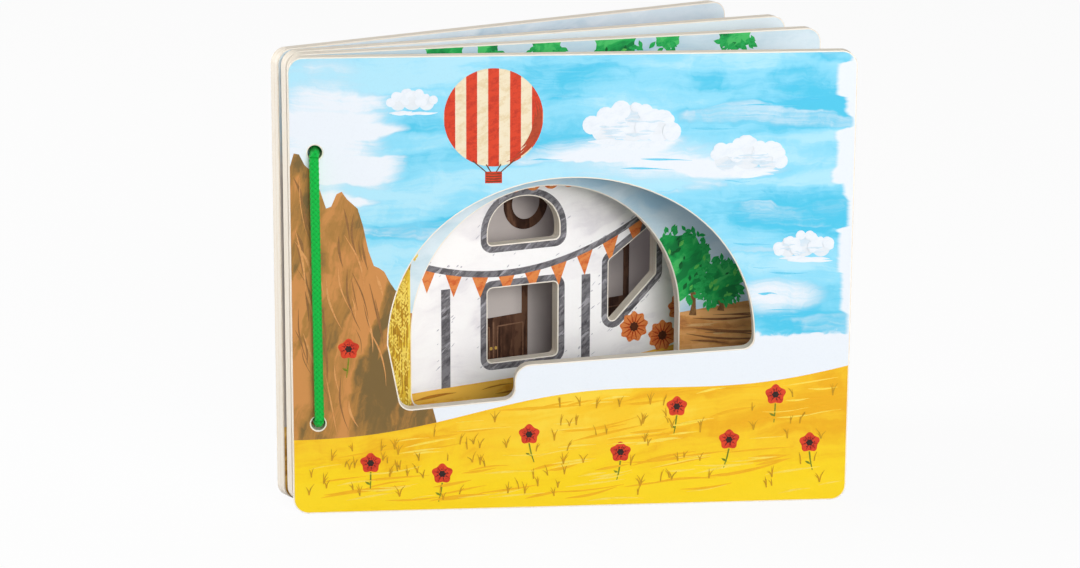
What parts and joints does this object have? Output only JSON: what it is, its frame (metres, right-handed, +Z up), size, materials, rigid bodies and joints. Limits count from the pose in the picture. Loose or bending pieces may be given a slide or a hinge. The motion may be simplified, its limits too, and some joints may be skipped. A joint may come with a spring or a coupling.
{
  "type": "picture book",
  "caption": "Toddler's picture book of thick wooden boards that turn on a cord threaded along the spine, with cut-out windows through to the boards behind",
  "frame": {"origin": "bottom centre of the book's box as it stands fanned open on its bottom edges", "axes": "+X along the front board from the spine to the fore edge, +Y from the front board to the back board, +Z up"},
  "size_m": [0.2238, 0.1336, 0.18],
  "materials": {
    "board_wood": "pale close-grained wood, satin, eased edges",
    "green_cord": "round braided cord, bright green, dull",
    "white_wash": "white printed ground on wood, satin",
    "blue_wash": "brushed sky blue print, satin",
    "rust_wash": "brushed orange-brown print, satin",
    "yellow_wash": "brushed yellow print, satin",
    "red_print": "orange-red print, satin",
    "cream_print": "cream print, satin",
    "haze_wash": "brushed grey-blue print, satin",
    "green_wash": "dabbed green print, satin",
    "brown_wash": "brushed brown print, satin",
    "wheat_wash": "brushed wheat yellow print, satin",
    "lilac_wash": "brushed lilac-grey print, satin",
    "dark_print": "dark grey print, satin",
    "orange_print": "orange print, satin",
    "ochre_wash": "brushed ochre print, satin",
    "grey_wash": "brushed grey-green print, satin",
    "dark_brown_print": "dark brown print, satin",
    "pale_blue_wash": "pale blue print, satin",
    "pale_green_wash": "pale green print, satin",
    "pale_lilac_wash": "pale lilac print, satin"
  },
  "bodies": {
    "back_leaf": {"back_board": "board_wood", "back_wall": "grey_wash", "back_furniture": "dark_brown_print", "back_floor": "ochre_wash", "back_reverse": "pale_blue_wash", "binding_cord": "green_cord"},
    "third_leaf": {"third_board": "board_wood", "third_wall": "lilac_wash", "third_surrounds": "dark_print", "third_orange": "orange_print", "third_yard": "ochre_wash", "third_reverse": "pale_lilac_wash"},
    "second_leaf": {"second_board": "board_wood", "second_base": "white_wash", "second_sky": "haze_wash", "second_green": "green_wash", "second_field": "brown_wash", "second_wheat": "wheat_wash", "second_reverse": "pale_green_wash"},
    "front_leaf": {"front_board": "board_wood", "front_base": "white_wash", "front_sky": "blue_wash", "front_crag": "rust_wash", "front_meadow": "yellow_wash", "front_red": "red_print", "front_cream": "cream_print", "front_reverse": "pale_blue_wash"}
  },
  "joints": [
    {"name": "third_hinge", "type": "hinge", "parent": "back_leaf", "child": "third_leaf", "pos_m": [-0.10861, -0.05169, 0.09], "axis": [0, 0, -1], "range_deg": [-9.9, 170.1], "deforming": ["binding_cord"]},
    {"name": "second_hinge", "type": "hinge", "parent": "third_leaf", "child": "second_leaf", "pos_m": [-0.10861, -0.05169, 0.09], "axis": [0, 0, -1], "range_deg": [-7, 173]},
    {"name": "front_hinge", "type": "hinge", "parent": "second_leaf", "child": "front_leaf", "pos_m": [-0.10861, -0.05169, 0.09], "axis": [0, 0, -1], "range_deg": [-12.7, 167.3]}
  ]
}
